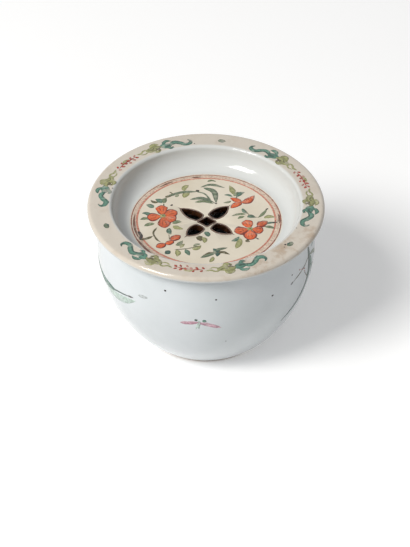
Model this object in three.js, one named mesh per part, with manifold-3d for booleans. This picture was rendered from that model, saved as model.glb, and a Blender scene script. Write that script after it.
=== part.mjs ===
// A two-piece porcelain cricket box: a deep round body and a dished cover that rests on its mouth.
// Millimetres, +Z up. The origin is the middle of the foot, on the surface that the box stands on.
import * as THREE from 'three';
import * as BufferGeometryUtils from 'three/addons/utils/BufferGeometryUtils.js';
import Module from 'manifold-3d';

// Driving dimensions of the body
const HEIGHT = 73.0; // foot to the cover's flat rim
const BELLY_RADIUS = 51.2; // widest outside radius
const BELLY_HEIGHT = 52.0;
const BOWL_DEPTH = 63.3; // below the belly the wall is part of an ellipse this deep, cut off at the foot
const MOUTH_RADIUS = 50.6;
const BODY_WALL = 3.6;
const FLOOR_HEIGHT = 6.6; // inside bottom of the body
const FOOT_WIDTH = 4.5; // flat ring that the box stands on
const FOOT_RECESS = 2.4;

// Driving dimensions of the cover
const COVER_RADIUS = 55.0;
const RIM_WIDTH = 11.4; // flat of the rim, from its lip to the sunk middle
const RIM_THICKNESS = 3.5;
const WELL_DEPTH = 10.9; // rim down to the pierced floor
const WELL_RADIUS = 36.4; // flat part of the floor
const COVER_WALL = 3.0;
const FIT_GAP = 0.3; // where the cover rests on the mouth

const FACETS = 64; // round the axis, a multiple of four

// The five air holes are a lozenge and four petals round it. A petal has its base along one side of the
// lozenge and narrows to its tip; both points are measured from the middle of the lozenge.
const FLOWER = { x: 0.4, y: -1.1 };
const LOZENGE = { length: 7.8, width: 6.4 };
const PETAL_WIDTH = 4.6; // across its base
const PETAL_SWELL = 1.8; // how far its sides bow out beyond the base
const PETALS = [
  { base: [-3.5, 3.1], tip: [-12.0, 9.5] },
  { base: [2.9, 3.9], tip: [9.8, 11.2] },
  { base: [-3.3, -3.9], tip: [-9.0, -10.1] },
  { base: [3.5, -3.5], tip: [11.2, -8.6] },
];

// Library for joining and cutting solids
const wasm = await Module();
wasm.setup();

function solidOf(geometry) {
  const bare = geometry.clone();
  bare.deleteAttribute('normal');
  bare.deleteAttribute('uv');
  const merged = BufferGeometryUtils.mergeVertices(bare, 1e-4);
  return new wasm.Manifold(new wasm.Mesh({
    numProp: 3,
    vertProperties: new Float32Array(merged.attributes.position.array),
    triVerts: new Uint32Array(merged.index.array),
  }));
}

function geometryOf(solid) {
  const mesh = solid.getMesh();
  const geometry = new THREE.BufferGeometry();
  geometry.setAttribute('position', new THREE.BufferAttribute(mesh.vertProperties, 3));
  geometry.setIndex(new THREE.BufferAttribute(mesh.triVerts, 1));
  geometry.computeVertexNormals();
  return geometry;
}

// Turns an outline of [radius, height] points, which starts and ends on the axis, about +Z
function turned(outline) {
  const profile = outline.map(([radius, height]) => new THREE.Vector2(radius, height));
  const geometry = new THREE.LatheGeometry(profile, FACETS);
  geometry.rotateX(Math.PI / 2);
  return geometry;
}

// Points along an elliptic quarter, which leaves its first end level or upright
function quarter(from, to, steps, leavesLevel) {
  const points = [];
  for (let i = 0; i <= steps; i += 1) {
    const angle = (i / steps) * Math.PI / 2;
    const across = leavesLevel ? Math.sin(angle) : 1 - Math.cos(angle);
    const up = leavesLevel ? 1 - Math.cos(angle) : Math.sin(angle);
    points.push([from[0] + (to[0] - from[0]) * across, from[1] + (to[1] - from[1]) * up]);
  }
  return points;
}

// The body's outside: an elliptic bowl from the foot to the belly, then a slight draw-in to the mouth
function outerWall(bowlSteps, neckSteps) {
  const points = [];
  const footAngle = Math.asin(BELLY_HEIGHT / BOWL_DEPTH);
  for (let i = 0; i <= bowlSteps; i += 1) {
    const angle = footAngle * (1 - i / bowlSteps);
    points.push([BELLY_RADIUS * Math.cos(angle), BELLY_HEIGHT - BOWL_DEPTH * Math.sin(angle)]);
  }
  const mouthHeight = HEIGHT - RIM_THICKNESS - FIT_GAP;
  for (let i = 1; i <= neckSteps; i += 1) {
    const share = i / neckSteps;
    points.push([
      BELLY_RADIUS - (BELLY_RADIUS - MOUTH_RADIUS) * share ** 2,
      BELLY_HEIGHT + (mouthHeight - BELLY_HEIGHT) * share,
    ]);
  }
  return points;
}

function bodyGeometry() {
  const outside = outerWall(11, 3);
  const inside = outside
    .filter(([, height]) => height > FLOOR_HEIGHT + BODY_WALL)
    .map(([radius, height]) => [radius - BODY_WALL, height])
    .reverse();
  const footInside = outside[0][0] - FOOT_WIDTH;
  const lowestInside = inside.at(-1)[0];
  return turned([
    [0, FOOT_RECESS],
    [footInside - 1, FOOT_RECESS],
    [footInside, 0],
    ...outside,
    ...inside,
    [lowestInside - BODY_WALL, FLOOR_HEIGHT + 0.8],
    [lowestInside - 2 * BODY_WALL, FLOOR_HEIGHT],
    [0, FLOOR_HEIGHT],
  ]);
}

function coverBlank() {
  const floorTop = HEIGHT - WELL_DEPTH;
  const floorUnder = floorTop - COVER_WALL;
  const rimInner = COVER_RADIUS - RIM_WIDTH;
  const rimUnder = HEIGHT - RIM_THICKNESS;
  const halfRim = RIM_THICKNESS / 2;
  const lipCentre = COVER_RADIUS - halfRim;
  const lipEquator = [COVER_RADIUS, rimUnder + halfRim];
  const plugRadius = MOUTH_RADIUS - BODY_WALL - 2 * FIT_GAP;
  return turned([
    [0, floorUnder],
    ...quarter([WELL_RADIUS, floorUnder], [plugRadius, rimUnder], 6, true),
    ...quarter([lipCentre, rimUnder], lipEquator, 3, true),
    ...quarter(lipEquator, [lipCentre, HEIGHT], 3, false).slice(1),
    ...quarter([rimInner, HEIGHT], [WELL_RADIUS, floorTop], 6, false),
    [0, floorTop],
  ]);
}

// A petal: a slightly rounded base and two full sides that meet at the tip
function petalShape({ base, tip }) {
  const start = new THREE.Vector2(...base);
  const end = new THREE.Vector2(...tip);
  const along = end.clone().sub(start);
  const across = new THREE.Vector2(-along.y, along.x).normalize().multiplyScalar(PETAL_WIDTH / 2);
  const middle = start.clone().addScaledVector(along, 0.5);
  const right = start.clone().sub(across);
  const left = start.clone().add(across);
  const rightBelly = middle.clone().addScaledVector(across, -PETAL_SWELL);
  const leftBelly = middle.clone().addScaledVector(across, PETAL_SWELL);
  const inward = start.clone().addScaledVector(along, -0.12);
  const shape = new THREE.Shape();
  shape.moveTo(right.x, right.y);
  shape.quadraticCurveTo(rightBelly.x, rightBelly.y, end.x, end.y);
  shape.quadraticCurveTo(leftBelly.x, leftBelly.y, left.x, left.y);
  shape.quadraticCurveTo(inward.x, inward.y, right.x, right.y);
  return shape;
}

function lozengeShape() {
  const { length, width } = LOZENGE;
  const shape = new THREE.Shape();
  shape.moveTo(length / 2, 0);
  shape.lineTo(0, width / 2);
  shape.lineTo(-length / 2, 0);
  shape.lineTo(0, -width / 2);
  shape.closePath();
  return shape;
}

function coverGeometry() {
  const clearance = 2; // how far each cutter reaches past the floor, above and below
  const depth = COVER_WALL + 2 * clearance;
  const cutterBottom = HEIGHT - WELL_DEPTH - COVER_WALL - clearance;
  let solid = solidOf(coverBlank());
  for (const shape of [lozengeShape(), ...PETALS.map(petalShape)]) {
    const cutter = new THREE.ExtrudeGeometry(shape, { depth, bevelEnabled: false, curveSegments: 6 });
    cutter.translate(FLOWER.x, FLOWER.y, cutterBottom);
    solid = solid.subtract(solidOf(cutter));
  }
  return geometryOf(solid);
}

function piece(name, geometry, colour) {
  const material = new THREE.MeshStandardMaterial({ color: colour, roughness: 0.2, metalness: 0 });
  const mesh = new THREE.Mesh(geometry, material);
  mesh.name = name;
  return mesh;
}

const cricketBox = new THREE.Group();
cricketBox.add(piece('box', bodyGeometry(), 0xcdd2d4));
cricketBox.add(piece('cover', coverGeometry(), 0xd2c5b6));

export default cricketBox;
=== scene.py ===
import math

import bmesh
import bpy
import numpy as np
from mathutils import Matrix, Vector


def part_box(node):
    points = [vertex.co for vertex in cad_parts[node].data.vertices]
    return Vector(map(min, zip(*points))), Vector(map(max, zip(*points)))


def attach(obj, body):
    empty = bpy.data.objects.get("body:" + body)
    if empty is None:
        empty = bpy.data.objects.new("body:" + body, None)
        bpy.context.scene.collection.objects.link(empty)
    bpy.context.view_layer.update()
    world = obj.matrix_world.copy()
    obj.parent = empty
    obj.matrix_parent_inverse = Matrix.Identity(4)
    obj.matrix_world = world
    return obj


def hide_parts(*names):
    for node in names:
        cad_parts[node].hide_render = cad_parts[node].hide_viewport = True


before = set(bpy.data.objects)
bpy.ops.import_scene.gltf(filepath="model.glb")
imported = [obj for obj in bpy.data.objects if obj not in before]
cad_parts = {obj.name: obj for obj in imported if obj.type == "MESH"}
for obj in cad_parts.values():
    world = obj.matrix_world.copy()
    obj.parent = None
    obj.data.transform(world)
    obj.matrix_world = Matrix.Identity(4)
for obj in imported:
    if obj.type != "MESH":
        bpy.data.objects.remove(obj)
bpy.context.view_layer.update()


# Stage
# A pale sheet on a table under one large soft window from the left front, and a camera that looks
# down at the box from about forty degrees. The sheet shows white and keeps the box's soft shadow.
MM = 0.001
CAMERA_DISTANCE = 850.0
CAMERA_ELEVATION = math.radians(39.72)
CAMERA_AIM = Vector((-0.5, 0.0, 40.0))
AIM_DROP = 8.0
LENS = 117.9
SENSOR = 36.0


def placed(name, data):
    """A new object in the scene, at the origin."""
    made = bpy.data.objects.new(name, data)
    bpy.context.scene.collection.objects.link(made)
    return made


def stand_facing(made, place, target):
    """Stands a camera or a lamp at a place and turns it to a target, both in millimetres."""
    made.location = place * MM
    made.rotation_mode = "QUATERNION"
    made.rotation_quaternion = (target - place).to_track_quat("-Z", "Y")


looking = Vector((0, math.cos(CAMERA_ELEVATION), -math.sin(CAMERA_ELEVATION)))
upward = Vector((0, math.sin(CAMERA_ELEVATION), math.cos(CAMERA_ELEVATION)))
camera_data = bpy.data.cameras.new("camera")
camera_data.lens = LENS
camera_data.sensor_width = SENSOR
camera = placed("camera", camera_data)
stand_facing(camera, CAMERA_AIM - looking * CAMERA_DISTANCE, CAMERA_AIM - upward * AIM_DROP)
bpy.context.scene.camera = camera
bpy.context.scene.view_settings.view_transform = "Standard"


def linear(red, green, blue):
    """A colour as seen on a screen, 0 to 255 a channel, in the linear values that a shader takes."""
    channels = (channel / 255 for channel in (red, green, blue))
    return tuple(c / 12.92 if c <= 0.04045 else ((c + 0.055) / 1.055) ** 2.4 for c in channels)


def paint(red, green, blue):
    """A screen colour as a shader input, with full opacity."""
    return (*linear(red, green, blue), 1.0)


def new_material(name):
    """A material, its node tree and its Principled shader."""
    material = bpy.data.materials.new(name)
    material.use_nodes = True
    tree = material.node_tree
    return material, tree, tree.nodes["Principled BSDF"]


def add_node(tree, kind, inputs=(), **settings):
    """Adds a node, sets its properties, and fills its inputs with values or with other nodes' outputs."""
    node = tree.nodes.new(kind)
    for name, value in settings.items():
        setattr(node, name, value)
    for key, value in dict(inputs).items():
        if isinstance(value, bpy.types.NodeSocket):
            tree.links.new(value, node.inputs[key])
        else:
            node.inputs[key].default_value = value
    return node


def combine(tree, operation, first, second):
    """Two values put together by one operation, such as MULTIPLY or MAXIMUM."""
    return add_node(tree, "ShaderNodeMath", {0: first, 1: second}, operation=operation).outputs[0]


def seen_directly(tree):
    """1 for rays from the camera, off glossy surfaces or through clear ones, 0 for the light itself."""
    path = add_node(tree, "ShaderNodeLightPath").outputs
    shown = combine(tree, "MAXIMUM", path["Is Camera Ray"], path["Is Glossy Ray"])
    return combine(tree, "MAXIMUM", shown, path["Is Transmission Ray"])


SHEET_SIZE = 6000.0
SHEET_COLOUR = paint(232, 232, 232)
SHEET_ROUGHNESS = 0.9
SHEET_SHINE = 0.1
SHEET_GLOW = 0.3

half = SHEET_SIZE / 2 * MM
corners = [(-half, -half, 0), (half, -half, 0), (half, half, 0), (-half, half, 0)]
sheet_mesh = bpy.data.meshes.new("floor")
sheet_mesh.from_pydata(corners, [], [(0, 1, 2, 3)])
floor = placed("floor", sheet_mesh)
floor_material, tree, shader = new_material("pale_sheet")
shader.inputs["Base Color"].default_value = SHEET_COLOUR
shader.inputs["Roughness"].default_value = SHEET_ROUGHNESS
shader.inputs["Specular IOR Level"].default_value = SHEET_SHINE
shader.inputs["Emission Color"].default_value = (1, 1, 1, 1)
glow = combine(tree, "MULTIPLY", seen_directly(tree), SHEET_GLOW)
tree.links.new(glow, shader.inputs["Emission Strength"])
sheet_mesh.materials.append(floor_material)

WORLD_LIGHT = 0.3
WORLD_COLOUR = (0.97, 0.985, 1.0, 1.0)

world = bpy.data.worlds.new("studio")
world.use_nodes = True
bpy.context.scene.world = world
background = world.node_tree.nodes["Background"]
background.inputs["Color"].default_value = WORLD_COLOUR
sky = add_node(world.node_tree, "ShaderNodeMapRange",
               {"Value": seen_directly(world.node_tree), "To Min": WORLD_LIGHT, "To Max": 1.0})
world.node_tree.links.new(sky.outputs[0], background.inputs["Strength"])

WINDOW_PLACE = Vector((-900, -640, 1220))
WINDOW_AIM = Vector((0, 0, 40))
WINDOW_SIZE = (580, 670)
WINDOW_POWER = 24.5
WINDOW_COLOUR = (1.0, 0.985, 0.96)

lamp = bpy.data.lights.new("window", "AREA")
lamp.shape = "RECTANGLE"
lamp.size, lamp.size_y = (side * MM for side in WINDOW_SIZE)
lamp.energy = WINDOW_POWER
lamp.color = WINDOW_COLOUR
stand_facing(placed("window", lamp), WINDOW_PLACE, WINDOW_AIM)


# The box
# A deep bowl thrown on a wheel in white porcelain, turned down to a low foot ring when leather-hard,
# dipped in a faintly blue clear glaze and fired. The foot and the mouth are wiped bare of glaze.
BELLY_RADIUS = 51.2
BELLY_HEIGHT = 52.0
BOWL_DEPTH = 63.3
MOUTH_HEIGHT = (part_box("box")[1] / MM).z
MOUTH_RADIUS = 50.6
WALL = 3.6
FLOOR_HEIGHT = 6.6
FOOT_INSIDE = 24.7
FOOT_RECESS = 2.4
SEGMENTS = 192


def wall_radius(height):
    """Outside radius of the box at a height: an elliptic bowl, then a slight draw-in to the mouth."""
    if height < BELLY_HEIGHT:
        return BELLY_RADIUS * math.sqrt(1 - ((BELLY_HEIGHT - height) / BOWL_DEPTH) ** 2)
    share = (height - BELLY_HEIGHT) / (MOUTH_HEIGHT - BELLY_HEIGHT)
    return BELLY_RADIUS - (BELLY_RADIUS - MOUTH_RADIUS) * share ** 2


def arc(centre, radii, start, end, steps):
    """Points on an elliptic arc in the turned section, from one angle in degrees to another."""
    angles = (math.radians(start + (end - start) * i / steps) for i in range(steps + 1))
    return [(centre[0] + radii[0] * math.cos(a), centre[1] + radii[1] * math.sin(a)) for a in angles]


def turned(name, outline):
    """A piece turned about +Z from an outline in millimetres that starts and ends on the axis."""
    angles = np.arange(SEGMENTS) * 2 * math.pi / SEGMENTS
    rings = outline[1:-1]
    points = [(0, 0, outline[0][1])]
    for radius, height in rings:
        points += [(radius * math.cos(a), radius * math.sin(a), height) for a in angles]
    points.append((0, 0, outline[-1][1]))
    faces = []
    top = len(points) - 1
    last = 1 + (len(rings) - 1) * SEGMENTS
    for j in range(SEGMENTS):
        k = (j + 1) % SEGMENTS
        faces.append((0, 1 + k, 1 + j))
        faces.append((top, last + j, last + k))
        for low in range(1, last, SEGMENTS):
            high = low + SEGMENTS
            faces.append((low + j, low + k, high + k, high + j))
    mesh = bpy.data.meshes.new(name)
    mesh.from_pydata([tuple(c * MM for c in p) for p in points], [], faces)
    mesh.polygons.foreach_set("use_smooth", [True] * len(mesh.polygons))
    return placed(name, mesh)


def box_outline():
    """Half the section: out under the foot, up the outside, over the mouth and down the inside."""
    core = 10
    recess_edge = FOOT_INSIDE - 2
    recess_turn = (1.2, 1)
    foot_lip = 0.5
    foot_edge = 1.2
    lip = 0.8
    corner = 5
    upper, lower = MOUTH_HEIGHT - lip, FLOOR_HEIGHT + corner
    outside = [(wall_radius(z), z) for z in np.linspace(foot_edge, upper, 70)]
    inside = [(wall_radius(z) - WALL, z) for z in np.linspace(upper, lower, 60)]
    foot_outside = wall_radius(foot_edge)
    inner = inside[-1][0]
    return [
        (0, FOOT_RECESS), (core, FOOT_RECESS), (recess_edge, FOOT_RECESS),
        *arc((recess_edge, FOOT_RECESS - recess_turn[1]), recess_turn, 90, 0, 4)[1:],
        *arc((FOOT_INSIDE + foot_lip, foot_lip), (foot_lip, foot_lip), 180, 270, 4),
        *arc((foot_outside - foot_edge, foot_edge), (foot_edge, foot_edge), 270, 350, 5),
        *outside,
        *arc((MOUTH_RADIUS - lip, upper), (lip, lip), 10, 90, 5),
        *arc((MOUTH_RADIUS - WALL + lip, upper), (lip, lip), 90, 170, 5),
        *inside,
        *arc((inner - corner, lower), (corner - 0.1, corner), -10, -90, 8),
        (core, FLOOR_HEIGHT), (0, FLOOR_HEIGHT),
    ]


def mixed(tree, factor, first, second):
    """A mix of two colours, each a value or another node's output."""
    return add_node(tree, "ShaderNodeMix", {0: factor, 6: first, 7: second}, data_type="RGBA").outputs[2]


def eased(tree, value, low, high, start=0.0, end=1.0):
    """A smooth step: start below low, end above high."""
    return add_node(tree, "ShaderNodeMapRange", {"Value": value, "From Min": low, "From Max": high,
                                                 "To Min": start, "To Max": end},
                    interpolation_type="SMOOTHSTEP").outputs[0]


def soft_edge(tree, value, start, end):
    """0 before the start and 1 past the end, both in millimetres, with a smooth step between."""
    return eased(tree, value, start * MM, end * MM)


def on_piece(tree):
    """The place on the piece, in metres."""
    return add_node(tree, "ShaderNodeTexCoord").outputs["Object"]


def split(tree):
    """The place on the piece as its X, Y and Z."""
    return add_node(tree, "ShaderNodeSeparateXYZ", {0: on_piece(tree)}).outputs


def noise(tree, place, scale, detail, roughness=0.5):
    """Cloudy noise, about 0.5 on average."""
    inputs = {"Vector": place, "Scale": scale, "Detail": detail, "Roughness": roughness}
    return add_node(tree, "ShaderNodeTexNoise", inputs).outputs[0]


def node_group(name, kind, inputs, outputs):
    """A node group with its sockets, and its nodes for what comes in and what goes out."""
    made = bpy.data.node_groups.new(name, kind)
    for way, sockets in (("INPUT", inputs), ("OUTPUT", outputs)):
        for socket, sort in sockets.items():
            made.interface.new_socket(socket, in_out=way, socket_type="NodeSocket" + sort)
    return made, add_node(made, "NodeGroupInput").outputs, add_node(made, "NodeGroupOutput").inputs


# Fired glaze: slow ripples from the brush and the wheel, a cloudy tint and a scatter of iron pinholes
glaze, given, wanted = node_group(
    "fired_glaze", "ShaderNodeTree", {"Ripple": "Float", "Cloud Scale": "Float"},
    {"Cloud": "Float", "Pinholes": "Float", "Normal": "Vector"})
place = on_piece(glaze)
cloud = noise(glaze, place, given["Cloud Scale"], 4.0, 0.55)
wave = noise(glaze, place, 55.0, 1.0)
peel = noise(glaze, place, 420.0, 1.0)
relief = add_node(glaze, "ShaderNodeMath", {0: peel, 1: 0.08, 2: wave}, operation="MULTIPLY_ADD")
bump = add_node(glaze, "ShaderNodeBump", {"Height": relief.outputs[0], "Strength": given["Ripple"],
                                          "Distance": 0.0012})
cells = add_node(glaze, "ShaderNodeTexVoronoi", {"Vector": place, "Scale": 75.0, "Randomness": 1.0})
chosen = add_node(glaze, "ShaderNodeSeparateColor", {"Color": cells.outputs["Color"]})
near = add_node(glaze, "ShaderNodeMapRange", {"Value": cells.outputs["Distance"], "From Min": 0.012,
                                              "From Max": 0.035, "To Min": 1.0, "To Max": 0.0})
rare = combine(glaze, "GREATER_THAN", chosen.outputs[0], 0.93)
glaze.links.new(cloud, wanted["Cloud"])
glaze.links.new(combine(glaze, "MULTIPLY", near.outputs[0], rare), wanted["Pinholes"])
glaze.links.new(bump.outputs[0], wanted["Normal"])


def use_glaze(tree, ripple, cloud_scale):
    """The glaze group's outputs, with a depth of ripple and a fineness of cloud."""
    node = add_node(tree, "ShaderNodeGroup", node_tree=glaze)
    node.inputs["Ripple"].default_value = ripple
    node.inputs["Cloud Scale"].default_value = cloud_scale
    return node.outputs


BLUE_WHITE = paint(216, 221, 224)
BLUE_WHITE_DEEP = paint(207, 213, 215)
IRON_SPECK = paint(96, 78, 66)
BISCUIT = paint(212, 196, 176)
BISCUIT_EDGE = paint(190, 152, 120)
GLAZE_GLOSS = 0.09
BISCUIT_ROUGHNESS = 0.75

box_material, tree, shader = new_material("box_porcelain_glaze")
surface = use_glaze(tree, 0.35, 26.0)
height = split(tree)["Z"]
colour = mixed(tree, eased(tree, surface["Cloud"], 0.35, 0.7), BLUE_WHITE, BLUE_WHITE_DEEP)
colour = mixed(tree, surface["Pinholes"], colour, IRON_SPECK)
foot_bare = soft_edge(tree, height, 0.9, 0.6)
mouth_bare = soft_edge(tree, height, MOUTH_HEIGHT - 0.35, MOUTH_HEIGHT - 0.2)
bare = combine(tree, "MAXIMUM", foot_bare, mouth_bare)
foot_line = soft_edge(tree, height, 1.5, 0.9)
colour = mixed(tree, combine(tree, "MULTIPLY", foot_line, 0.3), colour, BISCUIT_EDGE)
colour = mixed(tree, bare, colour, BISCUIT)
roughness = eased(tree, bare, 0, 1, GLAZE_GLOSS, BISCUIT_ROUGHNESS)
tree.links.new(colour, shader.inputs["Base Color"])
tree.links.new(roughness, shader.inputs["Roughness"])
tree.links.new(surface["Normal"], shader.inputs["Normal"])

box = turned("box_body", box_outline())
box.data.materials.append(box_material)
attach(box, "box")
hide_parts("box")


# The cover
# A dish thrown separately: a flat rim that rests on the mouth, a steep hollow and a level floor. Five
# air holes, four petals round a lozenge, were cut through the floor before glazing and edged in iron.
COVER_LOW, COVER_HIGH = (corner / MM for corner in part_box("cover"))
ENAMEL_ROOM = 0.12
LIP_ROOM = 0.03
RIM_THICKNESS = 3.5
RIM_TOP = COVER_HIGH.z - ENAMEL_ROOM
RIM_UNDER = COVER_HIGH.z - RIM_THICKNESS
LIP_RADIUS = COVER_HIGH.x - LIP_ROOM
RIM_INNER = 43.6
RIM_SAG = 0.12
SAG_RADIUS = 48.5
WELL_DEPTH = 10.9
WELL_TOP = COVER_HIGH.z - WELL_DEPTH
WELL_UNDER = COVER_LOW.z
WELL_RADIUS = 36.4
PLUG_RADIUS = 46.4
FLOWER_MIDDLE = Vector((0.4, -1.1))
LOZENGE_SIZE = (7.8, 6.4)
PETAL_WIDTH = 4.6
PETAL_SWELL = 1.8
PETALS = (
    ((-3.5, 3.1), (-12.0, 9.5)),
    ((2.9, 3.9), (9.8, 11.2)),
    ((-3.3, -3.9), (-9.0, -10.1)),
    ((3.5, -3.5), (11.2, -8.6)),
)


def cover_outline():
    """Half the section: out along the underside, round the rim's lip and down into the hollow."""
    seat_turn = 0.7
    fillet = 1.6
    lip_half = (RIM_TOP - RIM_UNDER) / 2
    lip_middle = (LIP_RADIUS - lip_half, RIM_UNDER + lip_half)
    sagging = ((SAG_RADIUS + 2.5, 0.6), (SAG_RADIUS, 1), (SAG_RADIUS - 2, 0.6))
    rings_under = (0, 12, 24, 34)
    rings_on_floor = (34, 28, 20, 0)
    return [
        *((radius, WELL_UNDER) for radius in rings_under),
        *arc((WELL_RADIUS, RIM_UNDER), (PLUG_RADIUS - WELL_RADIUS, RIM_UNDER - WELL_UNDER), 270, 355, 24),
        *arc((PLUG_RADIUS + seat_turn, RIM_UNDER - seat_turn), (seat_turn, seat_turn), 170, 90, 4),
        *arc(lip_middle, (lip_half, lip_half), 270, 450, 18),
        *((radius, RIM_TOP - share * RIM_SAG) for radius, share in sagging),
        *arc((RIM_INNER + fillet, RIM_TOP - fillet), (fillet, fillet), 90, 180, 8),
        *arc((WELL_RADIUS, RIM_TOP - fillet), (RIM_INNER - WELL_RADIUS, RIM_TOP - fillet - WELL_TOP),
             -4, -90, 26),
        *((radius, WELL_TOP) for radius in rings_on_floor),
    ]


def bend(start, control, end, steps):
    """Points on a curve from start towards end, drawn out towards control; the end is left off."""
    shares = (i / steps for i in range(steps))
    return [start * (1 - s) ** 2 + control * 2 * s * (1 - s) + end * s * s for s in shares]


def petal_points(base, tip):
    """The edge of a petal: two full sides that meet at the tip, and a slightly rounded base."""
    start, end = Vector(base), Vector(tip)
    along = end - start
    across = Vector((-along.y, along.x)).normalized() * PETAL_WIDTH / 2
    middle, inward = start + along * 0.5, start - along * 0.12
    return [
        *bend(start - across, middle - across * PETAL_SWELL, end, 14),
        *bend(end, middle + across * PETAL_SWELL, start + across, 14),
        *bend(start + across, inward, start - across, 6),
    ]


def lozenge_points():
    """The edge of the lozenge, six points a side."""
    length, width = LOZENGE_SIZE
    corners = [Vector(c) for c in ((length / 2, 0), (0, width / 2), (-length / 2, 0), (0, -width / 2))]
    return [first.lerp(second, i / 6) for first, second in zip(corners, corners[1:] + corners[:1])
            for i in range(6)]


def hole_outlines(grow=0.0):
    """The edges of the five air holes, or lines that far outside them, run counter-clockwise."""
    outlines = []
    for edge in (lozenge_points(), *(petal_points(*petal) for petal in PETALS)):
        points = [point + FLOWER_MIDDLE for point in edge]
        moved = []
        for before, point, after in zip(points[-1:] + points[:-1], points, points[1:] + points[:1]):
            direction = (after - before).normalized()
            moved.append(point + Vector((direction.y, -direction.x)) * grow)
        outlines.append(moved)
    return outlines


def punch(name, outline, low, high):
    """A straight-sided cutter from an outline."""
    builder = bmesh.new()
    ring = [builder.verts.new((p.x * MM, p.y * MM, low * MM)) for p in outline]
    base = builder.faces.new(ring)
    risen = bmesh.ops.extrude_face_region(builder, geom=[base])["geom"]
    bmesh.ops.translate(builder, verts=[g for g in risen if isinstance(g, bmesh.types.BMVert)],
                        vec=(0, 0, (high - low) * MM))
    bmesh.ops.recalc_face_normals(builder, faces=builder.faces)
    mesh = bpy.data.meshes.new(name)
    builder.to_mesh(mesh)
    builder.free()
    return placed(name, mesh)


RIM_CREAM = paint(206, 197, 184)
# The darker beige stands for brown dirt on the rim and for painted shade on its side away from the window
RIM_DIRT_AND_SHADE = paint(178, 158, 136)
# The hollow's cooler, bluer white, also used under the cover, is partly the glaze's own tint and partly
# painted cool light from the window that the hollow faces
HOLLOW_WHITE_WINDOW_LIT = paint(208, 210, 208)
WELL_CREAM = paint(221, 212, 195)
WELL_CREAM_DEEP = paint(210, 199, 178)
IRON_BROWN = paint(70, 42, 26)
IRON_DARK = paint(28, 14, 8)

cover_material, tree, shader = new_material("cover_porcelain_glaze")
surface = use_glaze(tree, 0.3, 34.0)
along = split(tree)
height = along["Z"]
flat = add_node(tree, "ShaderNodeCombineXYZ", {"X": along["X"], "Y": along["Y"]})
radius = add_node(tree, "ShaderNodeVectorMath", {0: flat.outputs[0]}, operation="LENGTH").outputs["Value"]
# Towards the front right, away from the window, the rim turns a darker, warmer beige in blotches: brown
# dirt, and painted shade on that side. The dirt also dulls the glaze.
front_right = combine(tree, "SUBTRACT", along["X"], along["Y"])
shaded_dirty_side = soft_edge(tree, front_right, 45, 75)
grime = noise(tree, on_piece(tree), 130.0, 6.0, 0.65)
dirt_and_shade = combine(tree, "MULTIPLY", eased(tree, grime, 0.45, 0.7), eased(tree, shaded_dirty_side, 0, 1, 0.25, 1.0))
rim_colour = mixed(tree, dirt_and_shade, RIM_CREAM, RIM_DIRT_AND_SHADE)
well_colour = mixed(tree, eased(tree, surface["Cloud"], 0.35, 0.7), WELL_CREAM, WELL_CREAM_DEEP)
on_rim = soft_edge(tree, radius, RIM_INNER + 0.6, RIM_INNER + 2.0)
on_top = soft_edge(tree, height, RIM_TOP - 2.2, RIM_TOP - 1.2)
in_well = soft_edge(tree, radius, WELL_RADIUS - 0.2, WELL_RADIUS - 1.4)
facing_up = soft_edge(tree, height, WELL_TOP - 0.4, WELL_TOP - 0.1)
# Off the rim's top and the floor, the hollow's cooler white: partly painted window light
colour = mixed(tree, combine(tree, "MULTIPLY", on_rim, on_top), HOLLOW_WHITE_WINDOW_LIT, rim_colour)
colour = mixed(tree, combine(tree, "MULTIPLY", in_well, facing_up), colour, well_colour)
colour = mixed(tree, surface["Pinholes"], colour, IRON_SPECK)
under_rim = soft_edge(tree, height, RIM_UNDER + 0.5, RIM_UNDER + 0.3)
seat_inside = soft_edge(tree, radius, PLUG_RADIUS + 0.3, PLUG_RADIUS + 0.8)
seat_outside = soft_edge(tree, radius, MOUTH_RADIUS + 1.0, MOUTH_RADIUS + 0.6)
seat = combine(tree, "MULTIPLY", under_rim, combine(tree, "MULTIPLY", seat_inside, seat_outside))
colour = mixed(tree, seat, colour, BISCUIT)
gloss = eased(tree, dirt_and_shade, 0, 1, 0.1, 0.3)
roughness = combine(tree, "MAXIMUM", gloss, combine(tree, "MULTIPLY", seat, BISCUIT_ROUGHNESS))
tree.links.new(colour, shader.inputs["Base Color"])
tree.links.new(roughness, shader.inputs["Roughness"])
tree.links.new(surface["Normal"], shader.inputs["Normal"])

iron_material, tree, shader = new_material("iron_brown_wash")
surface = use_glaze(tree, 0.6, 260.0)
colour = mixed(tree, eased(tree, surface["Cloud"], 0.35, 0.65), IRON_DARK, IRON_BROWN)
tree.links.new(colour, shader.inputs["Base Color"])
shader.inputs["Roughness"].default_value = 0.12
tree.links.new(surface["Normal"], shader.inputs["Normal"])


def settled(blank, name):
    """The blank with its modifiers worked into a plain mesh."""
    bpy.context.view_layer.update()
    shape = blank.evaluated_get(bpy.context.evaluated_depsgraph_get())
    mesh = bpy.data.meshes.new_from_object(shape)
    mesh.name = name
    blank.modifiers.clear()
    blank.data = mesh


CUT_PAST = 2
EDGE_SOFTENING = 0.3

cover = turned("cover_dish", cover_outline())
cover.data.materials.append(cover_material)
cutters = []
for number, outline in enumerate(hole_outlines()):
    cutter = punch(f"cutter_{number}", outline, WELL_UNDER - CUT_PAST, WELL_TOP + CUT_PAST)
    cutter.data.materials.append(iron_material)
    cutting = cover.modifiers.new(f"hole_{number}", "BOOLEAN")
    cutting.operation = "DIFFERENCE"
    cutting.solver = "EXACT"
    cutting.material_mode = "TRANSFER"
    cutting.object = cutter
    cutters.append(cutter)
softened = cover.modifiers.new("softened_edges", "BEVEL")
softened.width = EDGE_SOFTENING * MM
softened.segments = 2
softened.limit_method = "ANGLE"
softened.angle_limit = math.radians(60)
softened.harden_normals = True
settled(cover, "cover_dish")
for cutter in cutters:
    bpy.data.objects.remove(cutter)
cover.data.set_sharp_from_angle(angle=math.radians(50))
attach(cover, "cover")
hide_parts("cover")


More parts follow.
